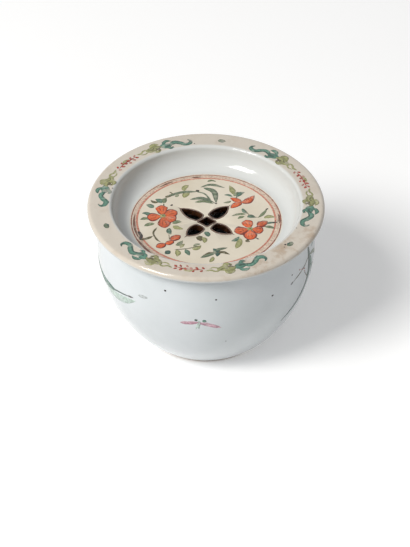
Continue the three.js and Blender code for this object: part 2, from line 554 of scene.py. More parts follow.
# Enamel brushwork
# Overglaze enamels, laid on with a fine pointed brush after the glaze firing and melted on in a cooler
# kiln. Each stroke is a slightly raised bead of coloured glass, with more colour along its edges.
ENAMEL_RISE = 0.07
ENAMEL_BED = 0.03
PILE_RISE = 0.025
SAMPLE_STEP = 0.45
SAMPLE_LIMITS = (7, 160)
FINEST_HAIR = 0.04
HAND_WAVER = 0.1
WAVERS = 6
TONE_SPREAD = 0.07
ACROSS = np.array([-1.0, -0.72, 0.0, 0.72, 1.0])
SWELLS = {
    "leaf": lambda s: np.sin(math.pi * s ** 0.85) ** 0.75,
    "line": lambda s: np.minimum(1, 7 * s + 0.15) * np.minimum(1, 4 * (1 - s) + 0.12),
    "lobe": lambda s: np.sqrt(np.clip(1 - (2 * s - 1) ** 2, 0, 1)),
    "petal": lambda s: np.sin(math.pi * s ** 1.45) ** 0.6,
    "tail": lambda s: (1 - s) ** 0.7 * np.minimum(1, 9 * s + 0.2),
    "even": lambda s: np.ones_like(s),
}

random = np.random.default_rng(7)


def smooth_line(points, count):
    """Evenly spaced samples of a smooth curve through the points."""
    knots = np.array(points, float)
    if len(knots) > 2:
        padded = np.vstack([2 * knots[0] - knots[1], knots, 2 * knots[-1] - knots[-2]])
        share = np.linspace(0, 1, 12, endpoint=False)[:, None]
        pieces = []
        for a, b, c, d in zip(padded, padded[1:], padded[2:], padded[3:]):
            pieces.append(0.5 * (2 * b + (c - a) * share + (2 * a - 5 * b + 4 * c - d) * share ** 2
                                 + (3 * b - a - 3 * c + d) * share ** 3))
        knots = np.vstack([*pieces, knots[-1:]])
    gone = np.concatenate([[0], np.cumsum(np.linalg.norm(np.diff(knots, axis=0), axis=1))])
    stops = np.linspace(0, gone[-1], count)
    return np.stack([np.interp(stops, gone, knots[:, axis]) for axis in (0, 1)], axis=1)


def new_painting():
    """An empty painting, to which strokes are added."""
    return {"points": [], "faces": [], "tints": []}


def stroke(painting, place, points, width, swell, colours, pile=0, rise=ENAMEL_RISE):
    """Adds one brush stroke: place lays flat millimetres and a lift on the ground that is painted."""
    knots = np.array(points, float)
    reach = np.linalg.norm(np.diff(knots, axis=0), axis=1).sum()
    count = int(np.clip(reach / SAMPLE_STEP, *SAMPLE_LIMITS))
    line = smooth_line(points, count)
    share = np.linspace(0, 1, count)
    direction = np.gradient(line, axis=0)
    direction /= np.linalg.norm(direction, axis=1)[:, None] + 1e-9
    sideways = np.stack([-direction[:, 1], direction[:, 0]], axis=1)
    waver = 1 + HAND_WAVER * np.interp(share, np.linspace(0, 1, WAVERS), random.normal(0, 1, WAVERS))
    half = np.maximum(width / 2 * SWELLS[swell](share) * waver, FINEST_HAIR)
    flat = line[:, None, :] + sideways[:, None, :] * (half[:, None] * ACROSS)[:, :, None]
    crown = (1 - ACROSS ** 2) ** 0.5 * (rise + PILE_RISE * pile)
    lift = np.where(abs(ACROSS) < 1, crown, -ENAMEL_BED) * np.ones((count, 1))
    first = sum(len(p) for p in painting["points"])
    painting["points"].append(place(flat[..., 0].ravel(), flat[..., 1].ravel(), lift.ravel()))
    columns = len(ACROSS)
    for i in range(count - 1):
        low, high = first + i * columns, first + (i + 1) * columns
        for j in range(columns):
            k = (j + 1) % columns
            painting["faces"].append((low + j, high + j, high + k, low + k))
    painting["faces"].append(tuple(range(first, first + columns)))
    last = first + (count - 1) * columns
    painting["faces"].append(tuple(reversed(range(last, last + columns))))
    core, edge = (np.array(linear(*colour)) for colour in colours)
    tone = 1 + random.normal(0, TONE_SPREAD)
    pooled = np.clip(abs(ACROSS) ** 1.5 * 0.85 + 0.35 * (share[:, None] ** 3), 0, 1)
    tint = (core + (edge - core) * pooled[:, :, None]) * tone
    painting["tints"].append(np.clip(tint, 0, 1).reshape(-1, 3))


def painting_mesh(name, painting):
    """The strokes as one mesh, with their colours as its tint attribute."""
    mesh = bpy.data.meshes.new(name)
    points = np.vstack(painting["points"]) * MM
    mesh.from_pydata(points.tolist(), [], painting["faces"])
    tints = np.vstack(painting["tints"])
    tints = np.hstack([tints, np.ones((len(tints), 1))]).astype(np.float32)
    mesh.attributes.new("tint", "FLOAT_COLOR", "POINT").data.foreach_set("color", tints.ravel())
    builder = bmesh.new()
    builder.from_mesh(mesh)
    bmesh.ops.recalc_face_normals(builder, faces=builder.faces)
    builder.to_mesh(mesh)
    builder.free()
    mesh.polygons.foreach_set("use_smooth", [True] * len(mesh.polygons))
    return mesh


# Enamel is streaked along its strokes and a little rubbed, so that the ground shows through in places
STREAK_DARK = paint(40, 32, 24)

brushwork, given, wanted = node_group(
    "enamel_brushwork", "ShaderNodeTree", {"Tint": "Color", "Ground": "Color", "Rub": "Float"},
    {"Color": "Color", "Roughness": "Float", "Normal": "Vector"})
place = on_piece(brushwork)
streak = noise(brushwork, place, 900.0, 3.0)
patch = noise(brushwork, place, 320.0, 2.0)
darker = mixed(brushwork, eased(brushwork, streak, 0.35, 0.65, 0.0, 0.35), given["Tint"], STREAK_DARK)
rubbed = combine(brushwork, "MULTIPLY", eased(brushwork, patch, 0.5, 0.75), given["Rub"])
brush_bump = add_node(brushwork, "ShaderNodeBump", {"Height": streak, "Strength": 0.25, "Distance": 0.0001})
brushwork.links.new(mixed(brushwork, rubbed, darker, given["Ground"]), wanted["Color"])
brushwork.links.new(eased(brushwork, patch, 0.3, 0.7, 0.14, 0.32), wanted["Roughness"])
brushwork.links.new(brush_bump.outputs[0], wanted["Normal"])


def enamel(name, ground, rub):
    """An enamel on a ground of one colour, rubbed through to it by a share."""
    material, tree, shader = new_material(name)
    tint = add_node(tree, "ShaderNodeAttribute", attribute_name="tint").outputs["Color"]
    node = add_node(tree, "ShaderNodeGroup", node_tree=brushwork)
    node.inputs["Ground"].default_value = ground
    node.inputs["Rub"].default_value = rub
    tree.links.new(tint, node.inputs["Tint"])
    for output, socket in (("Color", "Base Color"), ("Roughness", "Roughness"), ("Normal", "Normal")):
        tree.links.new(node.outputs[output], shader.inputs[socket])
    return material


def fired_on(made, material, body):
    """Gives a painted piece its enamel and joins it to the body that it is fired on."""
    made.data.materials.clear()
    made.data.materials.append(material)
    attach(made, body)


def painted_piece(name, painting, material, body):
    """Makes a painting one piece of a body."""
    fired_on(placed(name, painting_mesh(name, painting)), material, body)


# Rim border
# Three like groups run round the flat rim: a hooked turquoise scroll, a wavy yellow-green one, a red
# dotted sprig, then the two scrolls again in reverse, with a dark green dot between the groups.
RIM_MIDDLE = 48.6
RIM_GROUPS = 3
FIRST_GROUP = math.radians(141)
BETWEEN_GROUPS = math.radians(60)
SAG_REACH = 3.5


def on_rim_top(run, inward, lift):
    """Lays a run along the rim's middle, counter-clockwise from +X, and a distance inwards."""
    angle, reach = run / RIM_MIDDLE, RIM_MIDDLE - inward
    sag = RIM_SAG * np.clip(1 - ((reach - SAG_RADIUS) / SAG_REACH) ** 2, 0, 1)
    return np.stack([reach * np.cos(angle), reach * np.sin(angle), RIM_TOP - sag + lift], axis=1)


# An enamel's two colours are the one in the middle of a stroke and the one pooled along its edges
YELLOW_GREEN = ((170, 171, 118), (120, 120, 66))
OLIVE = ((100, 94, 58), (68, 62, 38))
TEAL = ((98, 146, 126), (42, 84, 72))
DEEP_TEAL = ((58, 96, 82), (30, 58, 50))
SEPIA_RED = ((176, 62, 40), (136, 42, 28))
GRASS = ((108, 124, 98), (62, 78, 62))

# Each scroll stroke: the line of the brush, its width, its swell, its colours and how late it was laid
YELLOW_SCROLL = (
    (((7.4, -0.9), (9.6, -0.2), (11.8, -1.2), (14.2, -0.6)), 1.1, "line", YELLOW_GREEN, 0),
    (((9.0, 0.6), (11.0, 1.5), (13.4, 0.9), (15.6, 1.8)), 0.9, "line", YELLOW_GREEN, 0),
    (((12.4, -0.2), (15.6, 0.5), (18.6, -0.3), (21.4, 0.6)), 4.8, "leaf", YELLOW_GREEN, 1),
    (((15.0, 1.6), (17.2, 3.0), (19.8, 2.6)), 2.2, "leaf", YELLOW_GREEN, 0),
    (((15.6, -1.6), (18.0, -2.8), (20.4, -1.8)), 2.2, "leaf", YELLOW_GREEN, 0),
    (((17.2, 0.5), (18.8, 1.3), (20.2, 0.3)), 1.5, "leaf", OLIVE, 3),
    (((13.8, -0.5), (15.8, 0.5), (17.4, -0.6)), 0.6, "line", OLIVE, 3),
    (((18.0, 2.7), (19.8, 2.0)), 0.8, "leaf", OLIVE, 2),
)
TURQUOISE_SCROLL = (
    (((20.6, -0.8), (23.4, 0.7), (26.6, 0.1)), 4.8, "leaf", TEAL, 1),
    (((22.4, 1.0), (24.6, 3.0), (26.8, 3.1)), 2.0, "leaf", TEAL, 0),
    (((22.0, -1.3), (24.4, -2.8), (26.8, -2.2)), 2.2, "leaf", TEAL, 0),
    (((25.0, 0.2), (28.0, -0.7), (30.6, 0.7), (32.6, 2.2), (35.0, 1.8), (35.8, 0.0), (34.6, -1.4)),
     2.7, "line", TEAL, 0),
    (((22.4, 0.4), (24.0, 1.1), (25.8, 0.0)), 1.6, "leaf", DEEP_TEAL, 3),
    (((25.8, 1.1), (28.4, 0.3), (30.8, 1.8), (33.0, 3.2)), 0.6, "line", DEEP_TEAL, 3),
    (((24.6, 2.9), (26.6, 2.4)), 0.7, "leaf", DEEP_TEAL, 2),
    (((34.4, -1.3), (35.7, -0.3), (35.6, 1.2)), 0.8, "line", DEEP_TEAL, 3),
)
RED_TOUCHES = (
    (((-7.0, 1.4), (-5.4, 0.2)), 1.4), (((-6.8, -1.3), (-5.2, -0.4)), 1.2),
    (((-4.6, 2.1), (-3.4, 0.6)), 1.3), (((-4.2, -1.6), (-2.8, -0.2)), 1.5),
    (((-2.1, 0.6), (-0.6, -1.1)), 1.6), (((-1.5, 2.2), (-0.4, 1.0)), 1.2),
    (((0.3, 1.1), (1.7, -0.4)), 1.5), (((1.6, -1.9), (2.5, -0.7)), 1.2),
    (((2.8, 1.6), (4.2, 0.2)), 1.5), (((5.0, -1.5), (6.2, -0.3)), 1.3),
    (((5.8, 1.7), (7.0, 0.5)), 1.3),
)
RED_STALK = ((-5.6, 0.1), (-1.4, 0.0), (2.2, -0.2), (6.0, 0.2))

around, given, wanted = node_group(
    "groups_round_the_rim", "GeometryNodeTree",
    {"Geometry": "Geometry", "Groups": "Int", "First Turn": "Float", "Material": "Material"},
    {"Geometry": "Geometry"})
centres = add_node(around, "GeometryNodePoints", {"Count": given["Groups"]})
step = combine(around, "DIVIDE", 2 * math.pi, given["Groups"])
index = add_node(around, "GeometryNodeInputIndex").outputs[0]
turn = add_node(around, "ShaderNodeMath", {0: index, 1: step, 2: given["First Turn"]},
                operation="MULTIPLY_ADD")
spin = add_node(around, "ShaderNodeCombineXYZ", {"Z": turn.outputs[0]})
copies = add_node(around, "GeometryNodeInstanceOnPoints", {
    "Points": centres.outputs[0], "Instance": given["Geometry"], "Rotation": spin.outputs[0]})
real = add_node(around, "GeometryNodeRealizeInstances", {"Geometry": copies.outputs[0]})
enamelled = add_node(around, "GeometryNodeSetMaterial",
                     {"Geometry": real.outputs[0], "Material": given["Material"]})
around.links.new(enamelled.outputs[0], wanted["Geometry"])


def round_the_rim(name, painting, material, first_turn):
    """Repeats one painted group round the rim and makes it a piece of the cover."""
    made = placed(name, painting_mesh(name, painting))
    repeat = made.modifiers.new("round_the_rim", "NODES")
    repeat.node_group = around
    values = {"Groups": RIM_GROUPS, "First Turn": first_turn, "Material": material}
    for item in around.interface.items_tree:
        if item.in_out == "INPUT" and item.name in values:
            repeat[item.identifier] = values[item.name]
    settled(made, name)
    fired_on(made, material, "cover")


SCROLLS = (("rim_scrolls_yellow_green", YELLOW_SCROLL), ("rim_scrolls_turquoise", TURQUOISE_SCROLL))

rim_enamel = enamel("rim_enamel", RIM_CREAM, 0.45)
for name, scroll in SCROLLS:
    painting = new_painting()
    for side in (-1, 1):
        for points, width, swell, colours, pile in scroll:
            line = [(run * side, inward) for run, inward in points]
            stroke(painting, on_rim_top, line, width, swell, colours, pile)
    round_the_rim(name, painting, rim_enamel, FIRST_GROUP)
painting = new_painting()
stroke(painting, on_rim_top, ((-2.6, -0.7), (0.1, -1.2), (2.6, -0.4)), 1.6, "leaf", YELLOW_GREEN)
for points, width in RED_TOUCHES:
    stroke(painting, on_rim_top, points, width, "leaf", SEPIA_RED, 2)
stroke(painting, on_rim_top, RED_STALK, 0.7, "line", SEPIA_RED, 2)
round_the_rim("rim_sprigs_red", painting, rim_enamel, FIRST_GROUP)
painting = new_painting()
stroke(painting, on_rim_top, ((-1.9, 0.2), (0, -0.1), (1.9, 0.3)), 3.0, "lobe", GRASS)
stroke(painting, on_rim_top, ((-1.2, 0.7), (0.6, 0.9)), 1.3, "leaf", DEEP_TEAL, 2)
round_the_rim("rim_dots", painting, rim_enamel, FIRST_GROUP + BETWEEN_GROUPS)


# Well border and hole edging
# A pale wash between two fine iron-red lines rings the cover's floor, drawn on a turning wheel. The
# same iron, laid on thickly and burnt nearly black, runs round each air hole, with a thin pale line along
# it that is a painted glint.
RING_WASH = ((226, 202, 182), (222, 194, 172))
RING_RED = ((200, 132, 110), (176, 92, 70))
RING_RED_DEEP = ((172, 104, 84), (146, 80, 62))
RING_STAIN = ((132, 92, 74), (96, 62, 48))

# Each ring: its radius, how far it wanders, its width, its colours, how late it was laid and its rise
RINGS = (
    (33.6, 0.1, 1.9, RING_WASH, 0, 0.03),
    (32.3, 0.1, 0.9, RING_RED, 1, 0.04),
    (34.9, 0.06, 0.7, RING_RED_DEEP, 1, 0.04),
)

# Each stain on the rings: where it starts and ends, in degrees, and its radius
STAINS = ((172, 204, 33.6), (94, 102, 33.4), (-4, 8, 34.2), (204, 224, 34.6), (118, 132, 33.6))
STAIN_WIDTH = 1.3


def on_well(x, y, lift):
    """Lays flat places on the cover's floor."""
    return np.stack([x, y, WELL_TOP + lift], axis=1)


def ring_points(reach, wander):
    """A ring drawn by hand on a turning wheel, that wanders a little in and out."""
    angles = np.linspace(0, 2 * math.pi, 73)
    shaken = reach + wander * np.sin(3 * angles + 0.6) + wander * 0.5 * np.sin(7 * angles)
    return np.stack([shaken * np.cos(angles), shaken * np.sin(angles)], axis=1)


well_enamel = enamel("well_enamel", WELL_CREAM, 0.28)
painting = new_painting()
for reach, wander, width, colours, pile, rise in RINGS:
    stroke(painting, on_well, ring_points(reach, wander), width, "even", colours, pile, rise)
for start, end, reach in STAINS:
    sweep = np.radians(np.linspace(start, end, 7))
    points = np.stack([reach * np.cos(sweep), reach * np.sin(sweep)], axis=1)
    stroke(painting, on_well, points, STAIN_WIDTH, "leaf", RING_STAIN, 1)
painted_piece("well_ring", painting, well_enamel, "cover")

EDGE_WIDTH = 0.95
EDGE_OVERLAP = 0.1
PAINTED_GLINT_WIDTH = 0.3
TAIL_WIDTH = 1.0
TAIL_LENGTH = 2.0
TAIL_OVERLAP = 0.4
EDGE_IRON = ((66, 38, 24), (40, 22, 14))
# The pale line's colours: a painted glint of light on each hole's edge
PAINTED_EDGE_GLINT = ((168, 134, 112), (120, 86, 68))
TAIL_IRON = ((78, 46, 30), (60, 34, 22))

hole_enamel = enamel("hole_edging", IRON_BROWN, 0.3)
painting = new_painting()
for outline in hole_outlines(EDGE_WIDTH / 2 - EDGE_OVERLAP):
    loop = [tuple(point) for point in outline]
    stroke(painting, on_well, loop + loop[:1], EDGE_WIDTH, "even", EDGE_IRON)
    # A thin pale line along each hole's edge is a painted glint of light on the edge
    stroke(painting, on_well, loop + loop[:1], PAINTED_GLINT_WIDTH, "even", PAINTED_EDGE_GLINT, 2)
for base, tip in PETALS:
    way = (Vector(tip) - Vector(base)).normalized()
    point = Vector(tip) + FLOWER_MIDDLE
    tail = (tuple(point - way * TAIL_OVERLAP), tuple(point + way * TAIL_LENGTH))
    stroke(painting, on_well, tail, TAIL_WIDTH, "tail", TAIL_IRON)
painted_piece("hole_edging", painting, hole_enamel, "cover")


# Sprays in the well
# Two iron-red flowering sprays, buds, grass and small leaves lie round the air holes, each leaf one
# touch of the brush in turquoise, green or yellow-green, with twigs drawn in brown.
IRON_RED = ((226, 108, 50), (202, 76, 34))
RED_OUTLINE = ((142, 50, 28), (120, 38, 22))
LEAF_GREEN = ((124, 138, 102), (76, 90, 60))
SAGE = ((96, 130, 108), (48, 76, 62))
INK = ((52, 42, 36), (34, 26, 22))
OUTLINE_WIDTH = 0.35
VEIN_WIDTH = 0.3
VEIN_SPAN = (0.4, 0.78)
VEIN_SPREAD = 0.16
EYE_WIDTH = 3.0
PUPIL_WIDTH = 1.0


def outlined(painting, place, points, width, swell, pile=0):
    """A red touch with its darker outline: the outline's wider stroke is laid first."""
    stroke(painting, place, points, width, swell, RED_OUTLINE, pile)
    start, end = Vector(points[0]), Vector(points[-1])
    trim = (end - start).normalized() * OUTLINE_WIDTH
    inner = (tuple(start + trim), *points[1:-1], tuple(end - trim))
    stroke(painting, place, inner, width - 2 * OUTLINE_WIDTH, swell, IRON_RED, pile + 3)


def flower(painting, place, middle, tips, size):
    """Petals that run out from the middle and overlap, each with two thin veins, and a green eye."""
    centre = Vector(middle)
    for number, tip in enumerate(tips):
        outer = Vector(tip)
        way = (outer - centre).normalized()
        outlined(painting, place, (tuple(centre + way * 0.3), tuple(outer)), size, "petal", number % 3)
        side = Vector((-way.y, way.x)) * size * VEIN_SPREAD
        near, far = (centre.lerp(outer, share) for share in VEIN_SPAN)
        for offset in (side, -side):
            vein = (tuple(near + offset * 0.4), tuple(far + offset))
            stroke(painting, place, vein, VEIN_WIDTH, "line", RED_OUTLINE, 8)
    x, y = middle
    for width, colours, pile in ((EYE_WIDTH, YELLOW_GREEN, 8), (PUPIL_WIDTH, OLIVE, 11)):
        stroke(painting, place, ((x - width / 2, y), (x + width / 2, y)), width, "lobe", colours, pile)


# Each flower: its middle, the tips of its petals and how broad a petal is
WELL_FLOWERS = (
    ((-20.2, 3.2), ((-21.2, 11.4), (-27.6, 1.8), (-13.6, 6.8), (-14.0, 0.0), (-19.0, -5.8)), 6.8),
    ((20.4, -6.4), ((18.6, 0.2), (13.0, -8.6), (20.4, -14.6), (26.6, -7.8)), 6.4),
)
WELL_BUDS = (
    ((-23.0, -19.8), (-18.4, -17.6), 4.0), ((-18.8, -17.8), (-14.8, -15.4), 3.8),
    ((-16.4, -14.6), (-11.8, -11.4), 4.2), ((23.8, -4.4), (28.6, -0.8), 4.4),
)
OPENING_BUD = (
    (((16.8, 13.4), (14.4, 15.2), (11.4, 17.0)), 3.8),
    (((17.0, 13.2), (14.2, 11.8), (11.6, 9.0)), 4.0),
    (((16.4, 13.2), (19.8, 14.6), (23.0, 18.8)), 3.8),
)
OPENING_VEINS = (((18.4, 14.0), (21.0, 16.8)), ((14.0, 11.9), (15.8, 13.2)))

painting = new_painting()
for middle, tips, size in WELL_FLOWERS:
    flower(painting, on_well, middle, tips, size)
for start, end, size in WELL_BUDS:
    outlined(painting, on_well, (start, end), size, "lobe", 4)
    middle = Vector(start).lerp(Vector(end), 0.5)
    vein = (tuple(middle.lerp(Vector(start), 0.4)), tuple(middle.lerp(Vector(end), 0.4)))
    stroke(painting, on_well, vein, VEIN_WIDTH, "line", RED_OUTLINE, 9)
for number, (points, width) in enumerate(OPENING_BUD):
    outlined(painting, on_well, points, width, "leaf", number)
for vein in OPENING_VEINS:
    stroke(painting, on_well, vein, VEIN_WIDTH, "line", RED_OUTLINE, 8)
painted_piece("well_flowers", painting, well_enamel, "cover")

LEAF_FULLNESS = 1.3
WELL_LEAVES = (
    (((-24.6, 9.4), (-26.4, 11.0), (-28.2, 11.6)), 2.3, SAGE),
    (((-25.8, 3.6), (-28.0, 5.2), (-30.0, 5.2)), 2.0, SAGE),
    (((-26.0, 0.8), (-28.4, 1.4), (-30.8, 0.4)), 1.8, LEAF_GREEN),
    (((-24.0, -2.6), (-26.4, -3.0), (-28.8, -4.4)), 2.1, LEAF_GREEN),
    (((-20.8, 13.0), (-22.0, 14.8), (-24.0, 16.0)), 2.6, SAGE),
    (((-19.6, 12.8), (-19.8, 15.0), (-18.8, 17.0)), 2.2, LEAF_GREEN),
    (((-22.6, 13.4), (-24.8, 13.8), (-26.2, 15.2)), 1.5, OLIVE),
    (((-15.6, -2.6), (-13.6, -1.2), (-11.4, -1.2)), 2.0, LEAF_GREEN),
    (((-15.4, -4.2), (-13.4, -5.6), (-10.6, -6.6)), 2.2, YELLOW_GREEN),
    (((-17.0, -5.8), (-17.2, -8.2), (-16.2, -10.6)), 2.1, SAGE),
    (((-14.0, -18.4), (-12.4, -17.6), (-10.8, -15.0)), 2.0, LEAF_GREEN),
    (((-18.6, -22.4), (-16.4, -24.6)), 2.7, DEEP_TEAL),
    (((-13.6, -21.6), (-12.8, -24.0), (-13.2, -26.6)), 2.2, YELLOW_GREEN),
    (((-9.6, -21.4), (-8.4, -23.6), (-7.6, -25.8)), 2.0, SAGE),
    (((-11.8, -20.4), (-11.0, -18.6), (-9.8, -17.4)), 1.5, YELLOW_GREEN),
    (((-6.6, -20.4), (-4.6, -20.6), (-2.2, -18.6)), 2.5, YELLOW_GREEN),
    (((-5.8, -19.4), (-4.4, -17.8), (-2.6, -17.6)), 1.4, LEAF_GREEN),
    (((-10.2, 22.4), (-10.4, 24.8), (-8.4, 26.8)), 2.6, YELLOW_GREEN),
    (((-7.8, 20.8), (-9.6, 19.6), (-10.4, 17.0)), 2.8, YELLOW_GREEN),
    (((-13.0, 19.6), (-14.6, 17.6)), 1.4, LEAF_GREEN),
    (((13.2, 19.4), (12.6, 22.6), (11.2, 26.6)), 2.4, YELLOW_GREEN),
    (((13.4, 18.2), (14.2, 20.4), (15.4, 21.6)), 1.4, LEAF_GREEN),
    (((14.4, 17.6), (16.0, 20.2), (18.4, 21.4)), 2.1, SAGE),
    (((12.6, 17.8), (10.6, 19.2), (8.6, 19.2)), 1.3, SAGE),
    (((11.8, 14.6), (10.2, 13.6), (8.2, 13.2)), 1.3, LEAF_GREEN),
    (((17.0, 8.8), (17.8, 6.8), (19.6, 5.0)), 1.8, SAGE),
    (((18.6, 4.6), (15.6, 4.6), (12.0, 3.2)), 1.5, LEAF_GREEN),
    (((18.0, 2.8), (16.4, 2.4), (14.8, 1.0)), 1.5, LEAF_GREEN),
    (((19.2, 2.2), (21.0, 3.0), (23.2, 2.0)), 1.9, SAGE),
    (((24.4, 2.0), (26.4, 4.4), (28.8, 8.6)), 1.4, LEAF_GREEN),
    (((27.0, 1.6), (29.4, 2.8), (32.2, 2.2)), 1.9, YELLOW_GREEN),
    (((27.6, -2.8), (30.2, -1.8), (33.0, -1.8)), 1.2, SAGE),
    (((27.2, -4.8), (29.6, -5.0), (32.0, -6.0)), 1.7, LEAF_GREEN),
    (((15.2, -12.2), (13.8, -14.4), (11.6, -15.4)), 1.9, SAGE),
    (((15.8, -13.4), (15.2, -17.0), (13.6, -20.8)), 2.4, YELLOW_GREEN),
    (((18.0, -15.0), (20.2, -15.8)), 1.6, OLIVE),
    (((-3.6, -11.6), (-2.8, -13.6), (-2.4, -15.4)), 2.8, OLIVE),
    (((-0.8, -8.8), (0.6, -10.0), (1.2, -12.2)), 2.6, SAGE),
    (((-1.8, -12.6), (-0.6, -14.6), (-0.8, -16.8)), 2.2, YELLOW_GREEN),
    (((-1.2, -25.8), (1.8, -24.0), (4.6, -24.0)), 1.4, OLIVE),
    (((4.6, -24.0), (7.6, -23.4), (10.8, -25.0)), 1.7, OLIVE),
    (((4.4, -23.8), (1.6, -25.0), (-2.6, -27.4)), 2.0, GRASS),
    (((2.8, -24.6), (5.6, -21.6), (9.8, -20.2)), 1.9, GRASS),
    (((3.2, -20.8), (5.2, -23.4), (5.0, -26.6)), 2.4, DEEP_TEAL),
    (((3.2, -26.6), (2.8, -28.6), (1.6, -30.6)), 1.7, YELLOW_GREEN),
    (((-2.6, 25.2), (2.4, 27.2), (9.0, 24.8)), 1.5, GRASS),
    (((-1.2, 24.8), (3.8, 21.6), (4.8, 13.2)), 2.6, GRASS),
    (((-7.6, 15.8), (-1.6, 16.6), (4.4, 13.0)), 1.7, GRASS),
    (((-5.4, 13.6), (-1.0, 14.4), (3.6, 12.6)), 1.7, LEAF_GREEN),
    (((0.6, 29.6), (2.6, 30.6), (4.8, 29.6)), 1.2, LEAF_GREEN),
)
painting = new_painting()
for points, width, colours in WELL_LEAVES:
    stroke(painting, on_well, points, width * LEAF_FULLNESS, "leaf", colours)
painted_piece("well_leaves", painting, well_enamel, "cover")

WELL_TWIGS = (
    (((-22.8, -5.4), (-24.4, -9.4), (-22.8, -14.0), (-20.8, -16.2)), 1.0, OLIVE),
    (((-30.4, -14.4), (-27.4, -13.6), (-24.6, -11.8)), 1.7, OLIVE),
    (((-31.4, -8.2), (-30.0, -11.6), (-30.4, -14.8)), 1.8, INK),
    (((-14.4, -21.6), (-8.6, -20.8), (-2.8, -19.0)), 0.6, OLIVE),
    (((-18.8, 17.8), (-11.8, 21.2), (-4.2, 21.8)), 1.7, GRASS),
    (((-4.8, 22.0), (-0.4, 19.8), (2.6, 13.6)), 1.1, GRASS),
    (((-4.9, 22.4), (-3.2, 22.6)), 1.4, INK),
    (((-19.4, 17.4), (-16.0, 19.0)), 1.6, OLIVE),
    (((-17.4, 21.6), (-15.0, 19.4)), 0.7, OLIVE),
    (((4.0, 13.0), (5.2, 12.4)), 0.9, INK),
    (((17.6, 8.8), (20.6, 3.6), (24.6, 1.8)), 0.4, OLIVE),
    (((28.0, 7.8), (29.2, 9.0)), 0.9, INK),
    (((30.6, -1.8), (33.6, -1.4)), 0.9, INK),
    (((14.6, 17.6), (14.0, 15.6)), 0.6, OLIVE),
    (((-20.0, 12.6), (-19.8, 10.6)), 0.6, OLIVE),
    (((-16.6, 10.8), (-15.8, 12.0)), 1.1, INK),
    (((-17.2, -10.4), (-16.8, -14.8)), 0.4, OLIVE),
    (((-7.6, 0.8), (-7.2, 0.8)), 0.6, INK),
    (((22.8, -12.8), (24.4, -14.2)), 0.7, INK),
    (((18.6, -14.2), (19.8, -14.6)), 1.2, INK),
)
painting = new_painting()
for points, width, colours in WELL_TWIGS:
    stroke(painting, on_well, points, width, "line", colours, 1)
painted_piece("well_twigs", painting, well_enamel, "cover")


# Painting on the body
# An insect with pink wings hovers at the front, a long grass blade comes round from the left and a
# thin branch climbs on the right; a flowering spray fills the side that the photograph doesn't show.
DEGREE = math.radians(1) * BELLY_RADIUS
WALL_RISE = 0.05
PINK = ((228, 190, 200), (182, 112, 138))
PALE_GREEN = ((196, 214, 204), (182, 205, 192))
GREY_WASH = ((190, 196, 196), (182, 188, 188))


def on_wall(run, height, lift):
    """Lays a run round the belly, counter-clockwise from +X, and a height on the outside wall."""
    low = np.array([wall_radius(z) for z in height])
    slope = np.array([wall_radius(z + 0.1) - wall_radius(z - 0.1) for z in height]) / 0.2
    level = 1 / np.sqrt(1 + slope ** 2)
    reach = low + lift * level
    angle = run / BELLY_RADIUS
    return np.stack([reach * np.cos(angle), reach * np.sin(angle), height - lift * slope * level], axis=1)


def wall(*points):
    """Azimuths in degrees and heights as a run and a height in millimetres."""
    return [(azimuth * DEGREE, height) for azimuth, height in points]


def paint_wall(name, strokes, material):
    """One painted piece of the box from its strokes, as azimuths and heights, laid in their order."""
    painting = new_painting()
    for points, width, swell, colours, pile in strokes:
        stroke(painting, on_wall, wall(*points), width, swell, colours, pile, WALL_RISE)
    painted_piece(name, painting, material, "box")


body_enamel = enamel("body_enamel", BLUE_WHITE, 0.3)
INSECT = (
    (((-103.5, 42.2), (-98.5, 42.6), (-93.5, 43.4)), 2.3, "leaf", PINK, 0),
    (((-93.0, 43.2), (-88.0, 41.6), (-82.0, 39.4)), 3.0, "leaf", PINK, 0),
    (((-93.4, 43.2), (-91.6, 42.2), (-89.8, 41.8)), 1.1, "leaf", (PINK[1], PINK[1]), 3),
    (((-101.5, 42.2), (-98.0, 42.5), (-94.6, 43.0)), 0.3, "line", (PINK[1], PINK[1]), 3),
    (((-96.0, 45.0), (-94.4, 44.6)), 1.5, "lobe", DEEP_TEAL, 2),
    (((-92.0, 44.5), (-89.8, 44.2)), 1.6, "lobe", TEAL, 2),
    (((-94.2, 44.2), (-92.6, 43.2)), 1.0, "lobe", PALE_GREEN, 2),
    (((-93.6, 43.4), (-94.4, 41.2), (-95.4, 38.4)), 1.1, "leaf", PALE_GREEN, 0),
    (((-92.8, 43.0), (-93.6, 40.6), (-93.8, 38.8)), 0.6, "line", PALE_GREEN, 1),
)
paint_wall("body_insect", INSECT, body_enamel)

GRASS_CLUMP = (
    (((-216, 17.0), (-206, 38.0), (-190, 47.5), (-172, 43.5), (-157, 41.2), (-143, 44.6)),
     6.0, "leaf", TEAL, 2),
    (((-211, 28.0), (-200, 42.0), (-188, 47.0), (-172, 43.3), (-157, 41.4)), 0.7, "line", DEEP_TEAL, 6),
    (((-160, 42.2), (-152, 42.8), (-141, 45.4), (-131, 47.8)), 0.8, "line", DEEP_TEAL, 4),
    (((-180, 46.0), (-168, 43.0), (-157, 42.4), (-146, 44.4)), 5.6, "leaf", TEAL, 3),
    (((-160, 41.0), (-150, 40.2), (-140, 42.0), (-129, 46.4)), 5.0, "leaf", PALE_GREEN, 0),
    (((-135, 46.9), (-130.4, 48.0)), 1.3, "leaf", INK, 5),
    (((-127, 51.2), (-121, 52.2)), 2.2, "leaf", GREY_WASH, 0),
    (((-216, 17.0), (-220, 34.0), (-232, 47.0)), 3.8, "leaf", LEAF_GREEN, 1),
    (((-215, 17.0), (-204, 31.0), (-190, 33.0), (-178, 26.0)), 3.4, "leaf", GRASS, 0),
    (((-216, 18.0), (-214, 38.0), (-207, 56.0)), 3.2, "leaf", DEEP_TEAL, 0),
    (((-217, 17.0), (-230, 27.0), (-243, 27.0)), 3.0, "leaf", YELLOW_GREEN, 0),
)
paint_wall("body_grass_blade", GRASS_CLUMP, body_enamel)

